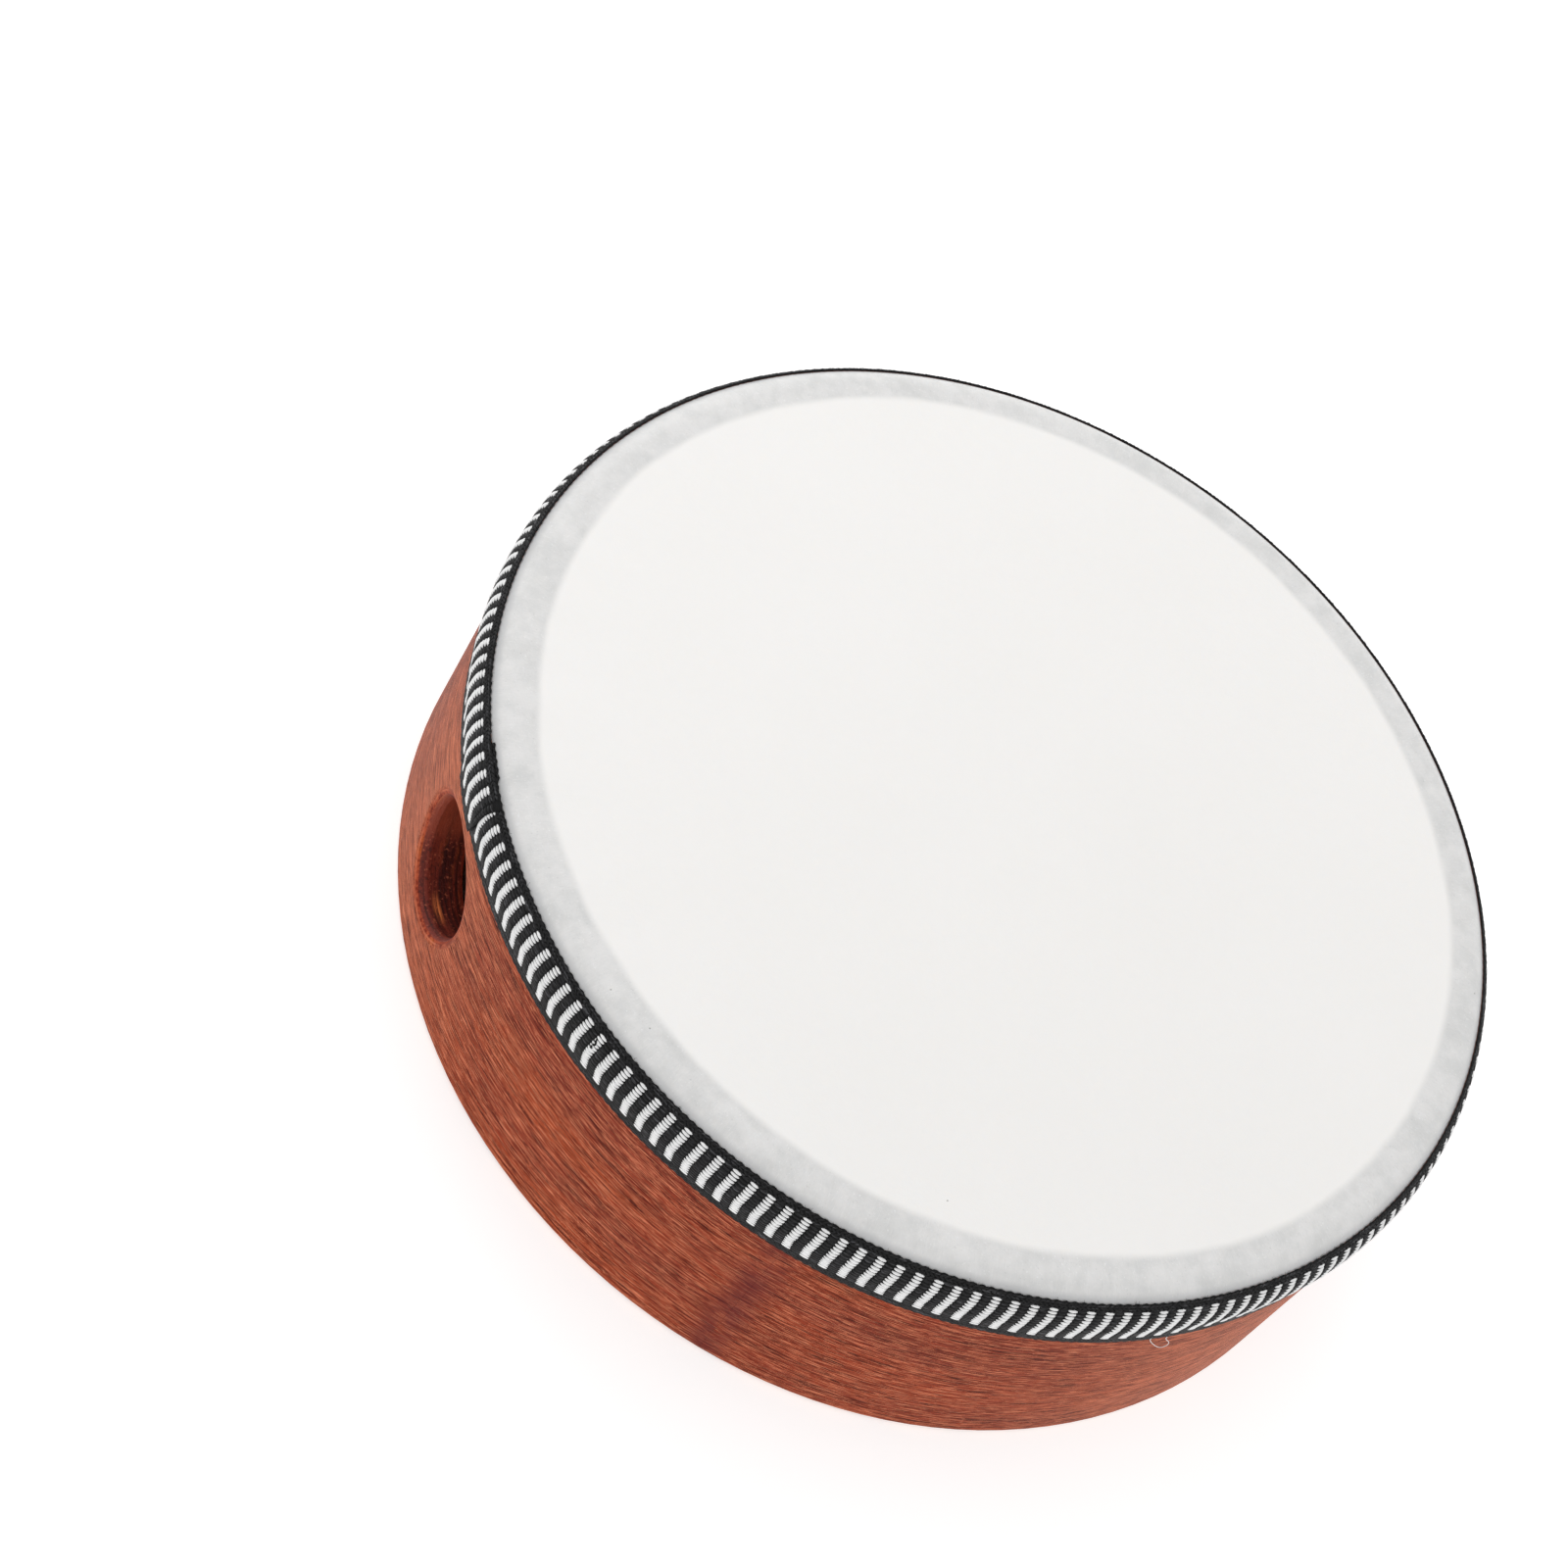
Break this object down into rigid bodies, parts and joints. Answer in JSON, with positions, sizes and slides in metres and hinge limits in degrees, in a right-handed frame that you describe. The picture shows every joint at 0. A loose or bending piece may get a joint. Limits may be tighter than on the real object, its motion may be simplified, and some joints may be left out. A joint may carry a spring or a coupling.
{
  "type": "frame drum",
  "caption": "Hand-held frame drum: a bent plywood hoop with a radial thumb hole, a glued natural skin and a woven trim ribbon.",
  "frame": {"origin": "centre of the back rim, on the surface that the drum stands on with its skin up", "axes": "+Z out of the playing face along the drum's axis; -Y out through the thumb hole"},
  "size_m": [0.2025, 0.2029, 0.056],
  "materials": {
    "face_veneer": "satin red-brown stain, fine grain running round the hoop",
    "cross_ply": "dark stained end grain",
    "long_ply": "bright orange stained long grain",
    "inner_veneer": "satin deep red-brown stain, fine grain running round the hoop",
    "skin": "matt natural skin, faintly fibrous and translucent",
    "glue": "dried clear glue",
    "ribbon": "woven black tape with white satin bars"
  },
  "bodies": {
    "root": {"outer_face_veneer": "face_veneer", "outer_cross_ply": "cross_ply", "outer_long_ply": "long_ply", "core_cross_ply": "cross_ply", "inner_long_ply": "long_ply", "inner_cross_ply": "cross_ply", "inner_face_veneer": "inner_veneer", "head_skin": "skin", "skin_glue_band": "glue", "trim_glue_band": "glue", "trim_ribbon": "ribbon"}
  },
  "joints": []
}
